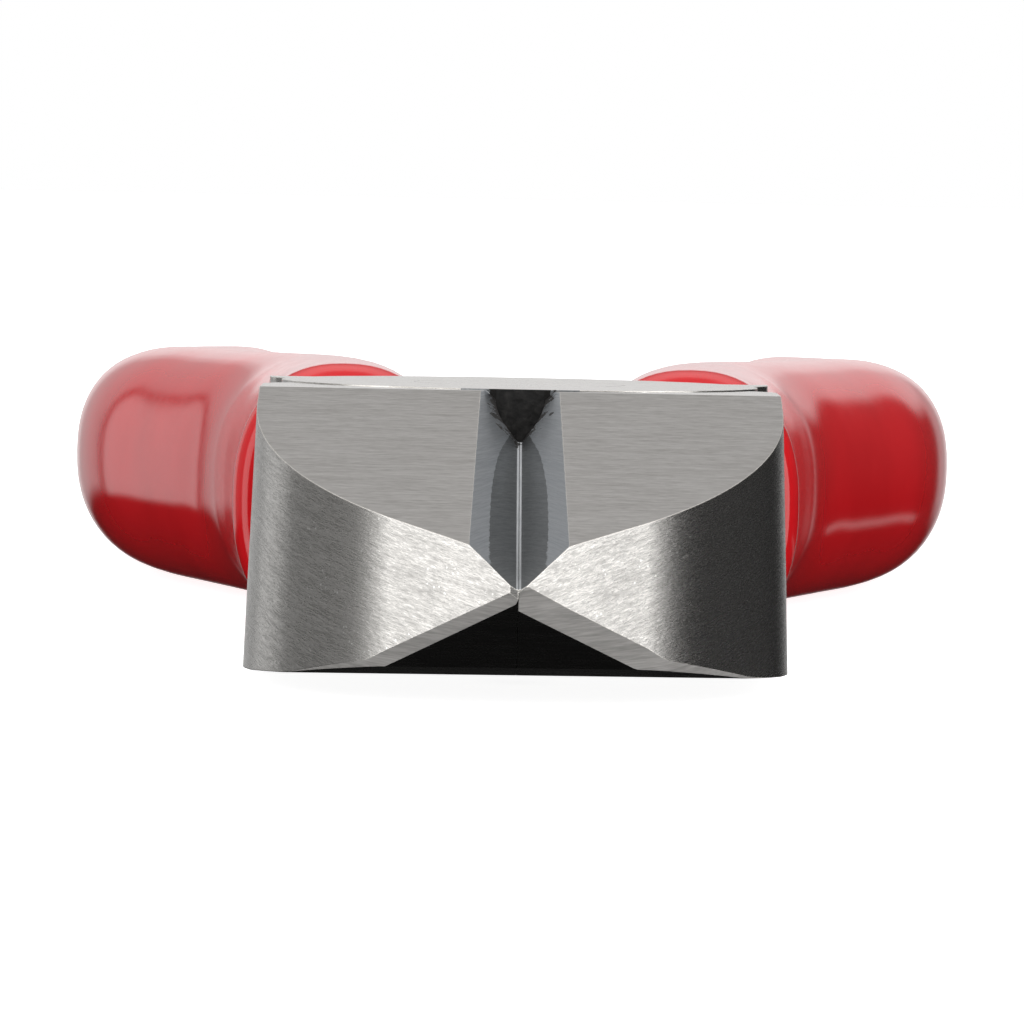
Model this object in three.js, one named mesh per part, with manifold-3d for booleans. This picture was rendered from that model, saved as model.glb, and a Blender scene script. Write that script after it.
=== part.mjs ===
// Lap-joint diagonal cutting pliers, 160 mm long, jaws closed, lying flat.
// Millimetres, +Z up. The origin is on the pivot axis at the underside of the joint, the nose
// points along -Y, the handles along +Y. Each forged half crosses the pivot: the half with the
// upper lap has its jaw at -X and its handle at +X, and the other half is the other way round.
import * as THREE from "three";
import { mergeVertices } from "three/addons/utils/BufferGeometryUtils.js";
import Module from "manifold-3d";

// Driving dimensions
const OVERALL_LENGTH = 160;
const NOSE_REACH = 30; // pivot axis to nose tip
const HEAD_THICKNESS = 11;
const HEAD_HALF_WIDTH = 10.3;
const SIDE_DRAFT = 0.2; // the head is this much wider each side at its underside, and narrower on top

const BOSS_RADIUS = 9.5; // round lap discs
const BOSS_STEP = 0.06; // a lap disc stands this proud of the flat beside it
const POCKET_GAP = 0.25; // lap disc to the round pocket in the other half
const LAP_GAP = 0.16; // between the two lap faces
const JAW_GAP = 0.12; // between the closed jaws
const SHOULDER_BACK = 3.0; // jaw and neck stop this far from the pivot's cross line

const RIVET_RADIUS = 3;
const RIVET_HEAD_RADIUS = 4.2;
const RIVET_HEAD_DEPTH = 1.3;
const RIVET_GAP = 0.1;

const SLOPE_LENGTH = 20; // tip to the head's flat top
const SLOPE_RISE = 5.6; // over that length
const NOSE_FACET = 4.4; // length and half width of the 45 degree nose facets
const NOSE_TIP_HALF_WIDTH = 0.3;
const NOSE_ARC_RADIUS = 19;
const UNDERCUT = [ // ground underside: distance behind the tip, depth under the mid-plane
  [0, 1.55],
  [5.1, 4.35],
  [10, 4.92],
  [14, 5.08],
  [20, 5.2],
  [25.7, 5.56],
];
const EDGE_CHAMFER = 0.45; // along the lower outline of the jaws, from the tip
const CHAMFER_FADE = [5, 9]; // it runs out between these half widths of the head

const GROOVE_FRONT = { halfWidth: 1.88, depth: 1.09 }; // bevels of the cutting edges
const GROOVE_BACK = { halfWidth: 1.5, depth: 1.3 };
const RELIEF_HALF_WIDTH = 0.95; // oval relief hole between the jaws
const RELIEF_HALF_LENGTH = 2.6;
const RELIEF_BEHIND_TIP = 20.4;

const NECK_END = 13.2; // the bare neck stops here, behind the pivot
const NECK_HALF_THICKNESS = 4.7;
const GRIP_START = 13.6;
const COAT_WIDTH = 1.4; // wall of the dipped coat beside the steel core
const COAT_HEIGHT = 1.5; // and above and below it
const COAT_END = 3; // and past its end
const COAT_GAP = 0.25;
const SECTION_POWER = 2.35; // superellipse exponent of a grip's cross section

// Handle stations: distance behind the pivot, centre line's offset, half width, half height,
// and how far the centre line rises over the head's mid-plane.
const HANDLE = [
  [4, 7.0, 4.3, 5.62, 0.1],
  [14, 7.2, 4.6, 5.72, 0.17],
  [24, 7.5, 4.65, 5.7, 0.15],
  [34, 8.2, 4.8, 5.65, 0.1],
  [44, 9.4, 4.9, 5.58, 0.03],
  [52, 11.3, 4.95, 5.52, -0.03],
  [60, 13.6, 4.95, 5.49, -0.06],
  [68, 15.6, 4.95, 5.42, -0.08],
  [76, 16.5, 4.95, 5.15, -0.1],
  [84, 16.75, 4.9, 4.95, -0.1],
  [94, 16.65, 4.85, 4.8, -0.1],
  [110, 16.1, 4.7, 4.55, -0.1],
  [126, 14.9, 4.45, 4.25, -0.1],
  [140, 13.6, 4.2, 4.0, -0.1],
];

const MID = HEAD_THICKNESS / 2 + BOSS_STEP;
const TOP = MID + HEAD_THICKNESS / 2;
const BOTTOM = MID - HEAD_THICKNESS / 2;
const TIP_Y = -NOSE_REACH;
const TAIL_Y = OVERALL_LENGTH - NOSE_REACH;
const ROUND_SEGMENTS = 64;
const FAR = 40; // cutters reach this far past the head

const wasm = await Module();
wasm.setup();

// ---- solids ----

function solidOf(geometry) {
  const bare = geometry.index ? geometry.toNonIndexed() : geometry.clone();
  bare.deleteAttribute("normal");
  bare.deleteAttribute("uv");
  const merged = mergeVertices(bare, 1e-4);
  return new wasm.Manifold(
    new wasm.Mesh({
      numProp: 3,
      vertProperties: merged.attributes.position.array,
      triVerts: new Uint32Array(merged.index.array),
    }),
  );
}

function geometryOf(solid) {
  const { numProp, vertProperties, triVerts } = solid.getMesh();
  const count = vertProperties.length / numProp;
  const positions = new Float32Array(count * 3);
  for (let i = 0; i < count; i++) {
    positions.set(vertProperties.subarray(i * numProp, i * numProp + 3), i * 3);
  }
  const geometry = new THREE.BufferGeometry();
  geometry.setAttribute("position", new THREE.BufferAttribute(positions, 3));
  geometry.setIndex(new THREE.BufferAttribute(triVerts, 1));
  geometry.computeVertexNormals();
  return geometry;
}

// A flat outline of [x, y] points, standing from one height to another.
function prism(points, low, high) {
  const shape = new THREE.Shape(points.map(([x, y]) => new THREE.Vector2(x, y)));
  const depth = high - low;
  const geometry = new THREE.ExtrudeGeometry(shape, { depth, bevelEnabled: false });
  return solidOf(geometry.translate(0, 0, low));
}

// A side-view outline of [y, z] points, running the whole width of the head.
function sideCutter(points) {
  const shape = new THREE.Shape(points.map(([y, z]) => new THREE.Vector2(y, z)));
  const geometry = new THREE.ExtrudeGeometry(shape, { depth: 2 * FAR, bevelEnabled: false });
  geometry.translate(0, 0, -FAR);
  const axes = new THREE.Matrix4().makeBasis(
    new THREE.Vector3(0, 1, 0),
    new THREE.Vector3(0, 0, 1),
    new THREE.Vector3(1, 0, 0),
  );
  return solidOf(geometry.applyMatrix4(axes));
}

function disc(radius, low, high) {
  const geometry = new THREE.CylinderGeometry(radius, radius, high - low, ROUND_SEGMENTS);
  return solidOf(geometry.rotateX(Math.PI / 2).translate(0, 0, (low + high) / 2));
}

// A closed skin through rings of points: every ring is a closed loop of the same length.
function loft(rings) {
  const size = rings[0].length;
  const last = rings.length - 1;
  const centres = [rings[0], rings[last]].map((ring) =>
    ring.reduce((sum, p) => sum.clone().add(p), new THREE.Vector3()).divideScalar(size),
  );
  const points = [...rings.flat(), ...centres];
  const faces = [];
  for (let r = 0; r < last; r++) {
    for (let i = 0; i < size; i++) {
      const a = r * size + i;
      const b = r * size + ((i + 1) % size);
      faces.push([a, b, b + size], [a, b + size, a + size]);
    }
  }
  for (let i = 0; i < size; i++) {
    const j = (i + 1) % size;
    faces.push([j, i, rings.length * size]);
    faces.push([last * size + i, last * size + j, rings.length * size + 1]);
  }
  const volume = faces.reduce((sum, [a, b, c]) => {
    return sum + points[a].dot(points[b].clone().cross(points[c]));
  }, 0);
  const turned = volume < 0 ? faces.map(([a, b, c]) => [a, c, b]) : faces;
  const geometry = new THREE.BufferGeometry().setFromPoints(points);
  geometry.setIndex(turned.flat());
  return solidOf(geometry);
}

// ---- jaws ----

// Outline of one jaw from its tip back to the joint, as [distance from the centre line, y].
function jawOutline() {
  const inner = JAW_GAP / 2;
  const facetEnd = [NOSE_TIP_HALF_WIDTH + NOSE_FACET, TIP_Y + NOSE_FACET];
  const arcCentre = [
    HEAD_HALF_WIDTH - NOSE_ARC_RADIUS,
    facetEnd[1] + NOSE_ARC_RADIUS * Math.SQRT1_2,
  ];
  const points = [
    [inner, TIP_Y],
    [NOSE_TIP_HALF_WIDTH, TIP_Y],
  ];
  const steps = 12;
  for (let i = 0; i <= steps; i++) {
    const angle = (Math.PI / 4) * (1 - i / steps);
    points.push([
      arcCentre[0] + NOSE_ARC_RADIUS * Math.cos(angle),
      arcCentre[1] - NOSE_ARC_RADIUS * Math.sin(angle),
    ]);
  }
  const corner = HEAD_HALF_WIDTH;
  points.push([corner, -6.2], [corner - 0.3, -4.6], [corner - 1.3, -SHOULDER_BACK]);
  points.push([inner, -SHOULDER_BACK]);
  return points;
}

// The jaw as a block with drafted sides, before its slopes are ground.
function jawBlock(side) {
  const outline = jawOutline();
  const inner = JAW_GAP / 2;
  const ringAt = (z, draft) =>
    outline.map(([w, y]) => {
      const widened = inner + (w - inner) * (1 + draft / HEAD_HALF_WIDTH);
      return new THREE.Vector3(side * widened, y, z);
    });
  return loft([ringAt(BOTTOM, SIDE_DRAFT), ringAt(TOP, -SIDE_DRAFT)]);
}

const slopeHeight = (y) => TOP + ((y - TIP_Y - SLOPE_LENGTH) * SLOPE_RISE) / SLOPE_LENGTH;

function undersideHeight(y) {
  const behind = y - TIP_Y;
  const next = UNDERCUT.findIndex(([d], i) => i > 0 && behind <= d);
  const i = next < 0 ? UNDERCUT.length - 1 : next;
  const [[d0, h0], [d1, h1]] = [UNDERCUT[i - 1], UNDERCUT[i]];
  const depth = h0 + ((h1 - h0) * (behind - d0)) / (d1 - d0);
  return MID - Math.min(depth, HEAD_THICKNESS / 2);
}

function topSlopeCutter() {
  const start = TIP_Y - 5;
  const end = TIP_Y + 2 * SLOPE_LENGTH;
  return sideCutter([
    [start, slopeHeight(start)],
    [end, slopeHeight(end)],
    [start, slopeHeight(end)],
  ]);
}

function undersideCutter() {
  const start = TIP_Y - 5;
  const ground = UNDERCUT.map(([d, h]) => [TIP_Y + d, MID - h]);
  return sideCutter([
    [start, ground[0][1]],
    ...ground,
    [ground[ground.length - 1][0], BOTTOM - 5],
    [start, BOTTOM - 5],
  ]);
}

// The V between the cutting edges, in front of the joint.
function grooveCutter() {
  const ringAt = (y, { halfWidth, depth }) => {
    const reach = 1.6; // how far the V goes on past the slope's surface
    const edge = slopeHeight(y) - depth;
    return [
      new THREE.Vector3(0, y, edge),
      new THREE.Vector3(reach * halfWidth, y, edge + reach * depth),
      new THREE.Vector3(-reach * halfWidth, y, edge + reach * depth),
    ];
  };
  return loft([
    ringAt(TIP_Y - 1, GROOVE_FRONT),
    ringAt(TIP_Y + SLOPE_LENGTH + 2, GROOVE_BACK),
  ]);
}

function reliefCutter() {
  const geometry = new THREE.CylinderGeometry(1, 1, 2 * FAR, 24);
  geometry.rotateX(Math.PI / 2).scale(RELIEF_HALF_WIDTH, RELIEF_HALF_LENGTH, 1);
  return solidOf(geometry.translate(0, TIP_Y + RELIEF_BEHIND_TIP, 0));
}

// A three-sided strip that takes the sharp lower edge off one jaw's outline.
function chamferCutter(side) {
  const [fadeStart, fadeEnd] = CHAMFER_FADE;
  const path = jawOutline().slice(1, -3).filter(([w]) => w <= fadeEnd);
  const rings = path.map(([w, y], i) => {
    const [w0, y0] = path[Math.max(i - 1, 0)];
    const [w1, y1] = path[Math.min(i + 1, path.length - 1)];
    const outward = new THREE.Vector2(y1 - y0, w0 - w1).normalize();
    const floor = undersideHeight(y);
    const at = (out, up) =>
      new THREE.Vector3(
        side * (w + SIDE_DRAFT * 0.8 + out * outward.x),
        y + out * outward.y,
        floor + up,
      );
    const size = EDGE_CHAMFER * Math.min(1, (fadeEnd - w) / (fadeEnd - fadeStart));
    return [at(0.5, -1), at(0.5, size + 0.5), at(-size - 1, -1)];
  });
  return loft(rings);
}

function jaw(side) {
  return jawBlock(side)
    .subtract(topSlopeCutter())
    .subtract(undersideCutter())
    .subtract(grooveCutter())
    .subtract(reliefCutter())
    .subtract(chamferCutter(side));
}

// ---- necks and handle cores ----

const handleLine = new THREE.CatmullRomCurve3(
  HANDLE.map(([y, offset]) => new THREE.Vector3(offset, y, 0)),
  false,
  "catmullrom",
);
const handleSize = new THREE.CatmullRomCurve3(
  HANDLE.map(([, , halfWidth, halfHeight, rise]) => new THREE.Vector3(halfWidth, halfHeight, rise)),
  false,
  "catmullrom",
);

// Centre line and half sizes of the handle at a distance behind the pivot.
function handleAt(y) {
  let low = 0;
  let high = 1;
  for (let i = 0; i < 30; i++) {
    const middle = (low + high) / 2;
    if (handleLine.getPoint(middle).y < y) low = middle;
    else high = middle;
  }
  const size = handleSize.getPoint(low);
  const offset = handleLine.getPoint(low).x;
  return { offset, halfWidth: size.x, halfHeight: size.y, rise: size.z };
}

// A cross section of the handle, pulled in by a wall and shrunk towards a rounded end.
function sectionRing(side, y, wallX, wallZ, keep, count) {
  const handle = handleAt(y);
  const halfWidth = (handle.halfWidth - wallX) * keep;
  const halfHeight = (handle.halfHeight - wallZ) * keep;
  const ring = [];
  for (let i = 0; i < count; i++) {
    const angle = (2 * Math.PI * i) / count;
    const across = Math.cos(angle);
    const up = Math.sin(angle);
    const bend = 2 / SECTION_POWER;
    const x = handle.offset + halfWidth * Math.sign(across) * Math.abs(across) ** bend;
    const z = MID + handle.rise + halfHeight * Math.sign(up) * Math.abs(up) ** bend;
    ring.push(new THREE.Vector3(side * x, y, z));
  }
  return ring;
}

// How much of its full section a rounded end keeps, at a distance inside that end.
function roundedEnd(distance, radius) {
  const t = Math.min(distance / radius, 1);
  return Math.sqrt(Math.max(1 - (1 - t) ** 2, 0));
}

function stations(start, end, count) {
  return Array.from({ length: count + 1 }, (_, i) => start + ((end - start) * i) / count);
}

// The handle's shape pulled in by a wall, from one station to another.
function handleBody(side, start, end, wallX, wallZ, count) {
  const endRound = 5;
  const ys = [
    ...stations(start, end - endRound, 20),
    ...[0.55, 0.3, 0.12, 0.02].map((t) => end - endRound * t),
  ];
  return loft(
    ys.map((y) => sectionRing(side, y, wallX, wallZ, roundedEnd(end - y, endRound), count)),
  );
}

// The bare neck behind the joint, from under the lap disc to the grip's mouth.
function neck(side) {
  const inner = 1;
  const curve = new THREE.SplineCurve([
    new THREE.Vector2(HEAD_HALF_WIDTH - 0.2, 6.2),
    new THREE.Vector2(HEAD_HALF_WIDTH - 0.1, 8.4),
    new THREE.Vector2(HEAD_HALF_WIDTH, 11),
    new THREE.Vector2(HEAD_HALF_WIDTH, NECK_END),
  ]);
  const outline = [
    [inner, SHOULDER_BACK],
    [HEAD_HALF_WIDTH - 1.3, SHOULDER_BACK],
    [HEAD_HALF_WIDTH - 0.4, 4.6],
    ...curve.getPoints(6).map((p) => [p.x, p.y]),
    [4.1, NECK_END],
    [inner, 10],
  ];
  const block = prism(outline.map(([w, y]) => [side * w, y]), BOTTOM, TOP);
  const taperStart = 7;
  const thinned = (direction) =>
    sideCutter([
      [taperStart, MID + (direction * HEAD_THICKNESS) / 2],
      [NECK_END, MID + direction * NECK_HALF_THICKNESS],
      [NECK_END + 2, MID + direction * NECK_HALF_THICKNESS],
      [NECK_END + 2, MID + direction * HEAD_THICKNESS],
      [taperStart, MID + direction * HEAD_THICKNESS],
    ]);
  return block.subtract(thinned(1)).subtract(thinned(-1));
}

const handleCore = (side) =>
  handleBody(side, 9, TAIL_Y - COAT_END, COAT_WIDTH, COAT_HEIGHT, 16);

// ---- joint ----

function rivetShape(radiusExtra) {
  const shaft = RIVET_RADIUS + radiusExtra;
  const head = RIVET_HEAD_RADIUS + radiusExtra;
  const height = 2 * MID;
  const past = radiusExtra > 0 ? 1 : 0; // a hole's cutter runs past both faces
  const profile = [
    [0, -past],
    [head, -past],
    [head, 0],
    [shaft, RIVET_HEAD_DEPTH],
    [shaft, height - RIVET_HEAD_DEPTH],
    [head, height],
    [head, height + past],
    [0, height + past],
  ].filter(([r, z], i, all) => i === 0 || r !== all[i - 1][0] || z !== all[i - 1][1]);
  const points = profile.map(([r, z]) => new THREE.Vector2(r, z));
  return solidOf(new THREE.LatheGeometry(points, ROUND_SEGMENTS).rotateX(Math.PI / 2));
}

// One forged half: the jaw on one side, the neck and handle on the other, and a lap disc.
function forgedHalf(jawSide, lapAbove) {
  const parts = jaw(jawSide).add(neck(-jawSide));
  const pocket = lapAbove
    ? disc(BOSS_RADIUS + POCKET_GAP, -5, MID + LAP_GAP / 2)
    : disc(BOSS_RADIUS + POCKET_GAP, MID - LAP_GAP / 2, 2 * MID + 5);
  const lap = lapAbove
    ? disc(BOSS_RADIUS, MID + LAP_GAP / 2, 2 * MID)
    : disc(BOSS_RADIUS, 0, MID - LAP_GAP / 2).subtract(undersideCutter());
  return parts.subtract(pocket).add(lap).add(handleCore(-jawSide)).subtract(rivetShape(RIVET_GAP));
}

// ---- grips ----

// A dipped sleeve: rolled lip at its mouth, round tail, blind hollow for the steel core.
function grip(side) {
  const lip = 1.3;
  const endRound = 6;
  const ys = [
    ...[0, 0.15, 0.45, 1].map((t) => GRIP_START + lip * t),
    ...stations(GRIP_START + lip, TAIL_Y - endRound, 22).slice(1),
    ...[0.75, 0.5, 0.3, 0.15, 0.05, 0.005].map((t) => TAIL_Y - endRound * t),
  ];
  const rings = ys.map((y) => {
    const rolled = 0.9 * (1 - roundedEnd(y - GRIP_START, lip));
    return sectionRing(side, y, rolled, rolled, roundedEnd(TAIL_Y - y, endRound), 28);
  });
  const hollowEnd = TAIL_Y - COAT_END + COAT_GAP;
  const hollow = handleBody(
    side, GRIP_START - 2, hollowEnd, COAT_WIDTH - COAT_GAP, COAT_HEIGHT - COAT_GAP, 16,
  );
  return loft(rings).subtract(hollow);
}

// ---- the pliers ----

const steel = () =>
  new THREE.MeshStandardMaterial({ color: 0xa6a29c, roughness: 0.35, metalness: 1 });
const rivetSteel = () =>
  new THREE.MeshStandardMaterial({ color: 0xb4b2ae, roughness: 0.3, metalness: 1 });
const redVinyl = () =>
  new THREE.MeshStandardMaterial({ color: 0xc4161c, roughness: 0.12, metalness: 0 });

function named(name, solid, material) {
  const mesh = new THREE.Mesh(geometryOf(solid), material);
  mesh.name = name;
  return mesh;
}

const pliers = new THREE.Group();
pliers.add(
  named("forged_half_upper_lap", forgedHalf(-1, true), steel()),
  named("forged_half_lower_lap", forgedHalf(1, false), steel()),
  named("pivot_rivet", rivetShape(0), rivetSteel()),
  named("grip_right", grip(1), redVinyl()),
  named("grip_left", grip(-1), redVinyl()),
);

export default pliers;
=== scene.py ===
"""Diagonal cutting pliers, seen from the nose: ground steel head, glossy red dipped grips."""

import math

import bmesh
import bpy
from mathutils import Matrix, Vector


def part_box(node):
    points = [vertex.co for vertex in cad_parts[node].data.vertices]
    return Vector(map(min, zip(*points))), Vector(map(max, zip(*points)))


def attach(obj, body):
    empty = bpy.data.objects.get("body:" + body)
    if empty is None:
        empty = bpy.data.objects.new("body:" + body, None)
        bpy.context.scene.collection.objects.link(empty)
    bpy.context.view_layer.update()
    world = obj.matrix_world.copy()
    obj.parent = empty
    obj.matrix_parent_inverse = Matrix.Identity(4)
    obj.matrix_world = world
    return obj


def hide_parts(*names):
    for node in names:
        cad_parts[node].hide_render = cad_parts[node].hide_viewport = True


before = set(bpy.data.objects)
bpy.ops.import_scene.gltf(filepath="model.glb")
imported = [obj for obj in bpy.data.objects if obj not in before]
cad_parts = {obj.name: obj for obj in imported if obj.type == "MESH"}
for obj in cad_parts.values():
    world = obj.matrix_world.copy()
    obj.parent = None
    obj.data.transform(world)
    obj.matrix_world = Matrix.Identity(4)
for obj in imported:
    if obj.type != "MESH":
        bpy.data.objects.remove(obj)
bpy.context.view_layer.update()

# ---- sizes in millimetres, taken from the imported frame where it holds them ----
# Seen from the nose, x runs to the right, y away from the eye and z up. The pivot is at x, y = 0.

MM = 0.001


def in_mm(corner):
    return [c / MM for c in corner]


RIVET_LOW, RIVET_HIGH = (in_mm(c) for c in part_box("pivot_rivet"))
HALF_LOW, HALF_HIGH = (in_mm(c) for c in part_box("forged_half_upper_lap"))
GRIP_LOW, GRIP_HIGH = (in_mm(c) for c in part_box("grip_right"))

# Head.
MID = (RIVET_LOW[2] + RIVET_HIGH[2]) / 2
HEAD_HALF = 5.5
TOP = MID + HEAD_HALF
BOTTOM = MID - HEAD_HALF
TIP_Y = HALF_LOW[1]
HEAD_HALF_WIDTH = 10.3
SIDE_DRAFT = 0.2
UNDERSIDE_LEAN = 0.0055
JAW_GAP = 0.012

# Lap joint and rivet.
BOSS_RADIUS = 9.5
POCKET_GAP = 0.12
LAP_GAP = 0.06
SHOULDER_BACK = 3.0
RIVET_RADIUS = 3.0
RIVET_HEAD_RADIUS = (RIVET_HIGH[0] - RIVET_LOW[0]) / 2
RIVET_HEAD_DEPTH = 1.3
RIVET_HOLE_GAP = 0.04

# Jaws: the slope on top, the 45 degree facet at the nose and the round flank behind it.
SLOPE_LENGTH = 20.0
SLOPE_RISE = 5.6
NOSE_FACET = 4.4
NOSE_TIP_HALF_WIDTH = 0.3
NOSE_ARC_RADIUS = 19.0

# Ground underside of the jaws: distance behind the tip and depth under the mid-plane.
UNDERCUT = ((0.0, 1.55), (5.1, 4.35), (10.0, 4.92), (14.0, 5.08), (20.0, 5.2), (25.7, 5.56))

# Chamfer along the underside's outer edge, for the left jaw (-1) and the right one (1): its
# size, and the distances from the centre line between which it fades out.
CHAMFER = {-1: 0.32, 1: 0.56}
CHAMFER_FADE = {-1: (5.2, 8.6), 1: (4.2, 9.4)}

# V groove between the jaws: half width and depth at its two ends, how far ahead of the tip it
# starts, and the half width of the narrow flat that is the cutting edge.
GROOVE_FRONT = (1.88, 1.09)
GROOVE_BACK = (1.5, 1.3)
GROOVE_LEAD = 1
GROOVE_LENGTH = SLOPE_LENGTH + 3
EDGE_LAND = 0.09

# Second, steeper bevel beside the cutting edges: distance behind the tip, half width and
# how much deeper it makes the V.
INNER_BEVEL = (
    (-0.5, 0.98, 0.04), (0.9, 1.02, 0.06), (2.0, 1.05, 0.14), (4.0, 1.08, 0.28),
    (6.5, 1.08, 0.36), (10.0, 1.02, 0.36), (14.0, 0.8, 0.28), (17.0, 0.45, 0.16),
    (19.0, 0.2, 0.07),
)

# Relief pocket behind the V, an ellipse in plan.
RELIEF_HALF_WIDTH = 0.95
RELIEF_HALF_LENGTH = 2.6
RELIEF_BEHIND_TIP = 20.4

# Shoulders beside the lap disc, rounded in plan by a turn in degrees, and the necks behind.
SHOULDER_RADII = (1.6, 2.4)
JAW_SHOULDER_Y = -5.4
JAW_SHOULDER_TURN = 80
NECK_SHOULDER_Y = 5.8
NECK_SHOULDER_TURN = 70
NECK_SHOULDER_INSET = 0.2
NECK_CORNER_INSET = 1.3
NECK_TAPER_Y = 7.0
NECK_FULL_WIDTH_Y = 11.0
NECK_END = 13.2
NECK_HALF_THICKNESS = 4.7
NECK_CROTCH = ((4.1, NECK_END), (3.2, 12.2), (1.0, 9.8))

# Handles: steel cores in dipped coats with a rolled lip at the mouth.
CORE_START_Y = 9.0
CORE_END_Y = HALF_HIGH[1]
CORE_END_ROUND = 5.0
COAT_START_Y = GRIP_LOW[1]
COAT_HOLLOW_INSET = 0.5
COAT_WIDTH = 1.4
COAT_HEIGHT = 1.5
COAT_GAP = 0.06
LIP_ROUND = 1.4
LIP_PULL = 0.95
TAIL_Y = GRIP_HIGH[1]
TAIL_ROUND = 6.5
SECTION_POWER = 2.35

# Handle stations: distance behind the pivot, centre line's offset, half width, half height,
# and how far the centre line rises over the head's mid-plane.
HANDLE = (
    (4, 7.0, 4.3, 5.62, 0.1),
    (14, 7.2, 4.6, 5.717, 0.17),
    (24, 7.5, 4.65, 5.7, 0.15),
    (32, 8.0, 4.75, 5.66, 0.11),
    (39, 8.5, 4.85, 5.61, 0.06),
    (44, 9.4, 4.9, 5.58, 0.03),
    (49, 10.75, 4.95, 5.54, -0.01),
    (56, 12.7, 4.95, 5.5, -0.05),
    (63, 14.65, 4.95, 5.47, -0.07),
    (69, 15.8, 4.95, 5.38, -0.08),
    (76, 16.45, 4.95, 5.15, -0.1),
    (84, 16.7, 4.92, 4.95, -0.1),
    (94, 16.65, 4.85, 4.8, -0.1),
    (110, 16.1, 4.7, 4.55, -0.1),
    (126, 14.9, 4.45, 4.25, -0.1),
    (140, 13.6, 4.2, 4.0, -0.1),
)

# How finely round shapes are divided, and how far cutters stand past the steel.
CIRCLE_STEPS = 128
RELIEF_STEPS = 48
ARC_STEPS = 40
SHOULDER_STEP_DEGREES = 5
INNER_BEVEL_STEPS = 45
CORE_SIDES = 32
CORE_STEPS = 60
CORE_END_SHARES = (0.8, 0.55, 0.3, 0.12, 0.02)
GRIP_SIDES = 72
HOLLOW_STEPS = 30
LIP_STEPS = 14
GRIP_STEPS = 130
TAIL_STEPS = 20
CUTTER_MARGIN = 5
PRISM_REACH = 40

# Angle in degrees above which an edge is sharp, by piece, and where two regions meet.
SHARP_STEEL = 9
SHARP_RIVET = 30
SHARP_GRIP = 60
SHARP_REGION = 1

# Regions of the steel, one material slot each, in this order.
REGIONS = ("side", "slope", "bevel", "inner", "land", "flat", "under", "chamfer", "pocket")
SIDE, SLOPE, BEVEL, INNER, LAND, FLAT, UNDER, EDGE, POCKET = range(len(REGIONS))

# Direction of the grinding marks on the V's bevels and on the flanks.
BEVEL_MARKS = math.radians(72)
FLANK_MARKS = math.radians(12)


# ---- mesh building ----


def new_object(name, points, faces, region=0):
    """A mesh object whose faces look outwards and all belong to one region."""
    mesh = bpy.data.meshes.new(name)
    mesh.from_pydata([tuple(p) for p in points], [], faces)
    obj = bpy.data.objects.new(name, mesh)
    bpy.context.scene.collection.objects.link(obj)
    bm = bmesh.new()
    bm.from_mesh(mesh)
    bmesh.ops.recalc_face_normals(bm, faces=bm.faces)
    bm.to_mesh(mesh)
    bm.free()
    for face in mesh.polygons:
        face.material_index = region
    return obj


def loft(name, rings, region=0, cap_region=None):
    """A closed skin through rings of points, every ring of the same length."""
    size = len(rings[0])
    points = [p for ring in rings for p in ring]
    faces = []
    for r in range(len(rings) - 1):
        for i in range(size):
            a = r * size + i
            b = r * size + (i + 1) % size
            faces.append((a, b, b + size, a + size))
    last = (len(rings) - 1) * size
    faces.append(tuple(range(size)))
    faces.append(tuple(last + i for i in range(size)))
    obj = new_object(name, points, faces, region)
    if cap_region is not None:
        for face in obj.data.polygons:
            if len(face.vertices) == size:
                face.material_index = cap_region
    return obj


def side_prism(name, outline, region, lean=0.0):
    """A side-view outline of (y, z) points, running the whole width of the head."""
    rings = [[(x, y, z + lean * x) for y, z in outline] for x in (-PRISM_REACH, PRISM_REACH)]
    return loft(name, rings, region)


def standing_prism(name, outline, low, high, region, cap_region):
    """An outline of (x, y) points in plan, between two heights."""
    rings = [[(x, y, z) for x, y in outline] for z in (low, high)]
    return loft(name, rings, region, cap_region)


def disc(name, radii, low, high, region, cap_region, steps=CIRCLE_STEPS, centre_y=0.0):
    """A standing ellipse with its centre on the centre line."""
    turns = [2 * math.pi * i / steps for i in range(steps)]
    outline = [(radii[0] * math.cos(t), centre_y + radii[1] * math.sin(t)) for t in turns]
    return standing_prism(name, outline, low, high, region, cap_region)


def turned(name, profile, region, cap_region):
    """A closed solid turned about the pivot axis from (radius, height) points."""
    rings = []
    for radius, z in profile:
        turns = [2 * math.pi * i / CIRCLE_STEPS for i in range(CIRCLE_STEPS)]
        rings.append([(radius * math.cos(t), radius * math.sin(t), z) for t in turns])
    return loft(name, rings, region, cap_region)


def boolean(obj, other, operation):
    """Changes obj by other, which is used up."""
    modifier = obj.modifiers.new("cut", "BOOLEAN")
    modifier.object = other
    modifier.operation = operation
    modifier.solver = "EXACT"
    modifier.material_mode = "INDEX"
    depsgraph = bpy.context.evaluated_depsgraph_get()
    mesh = bpy.data.meshes.new_from_object(obj.evaluated_get(depsgraph))
    obj.modifiers.clear()
    obj.data = mesh
    bpy.data.objects.remove(other)


def cut(obj, other):
    boolean(obj, other, "DIFFERENCE")


def join(obj, other):
    boolean(obj, other, "UNION")


# ---- outlines ----


def arc(centre, radii, start, end, steps):
    """Points of an elliptical arc in plan, between two angles in degrees."""
    points = []
    for i in range(steps + 1):
        angle = math.radians(start + (end - start) * i / steps)
        points.append((
            centre[0] + radii[0] * math.cos(angle),
            centre[1] + radii[1] * math.sin(angle),
        ))
    return points


def facet_end():
    """Where the nose facet meets the round flank: distance from the centre line, and y."""
    return NOSE_TIP_HALF_WIDTH + NOSE_FACET, TIP_Y + NOSE_FACET


def arc_centre():
    """Centre of the round flank in plan, in the same terms."""
    return (
        HEAD_HALF_WIDTH - NOSE_ARC_RADIUS,
        facet_end()[1] + NOSE_ARC_RADIUS * math.sin(math.pi / 4),
    )


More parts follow.
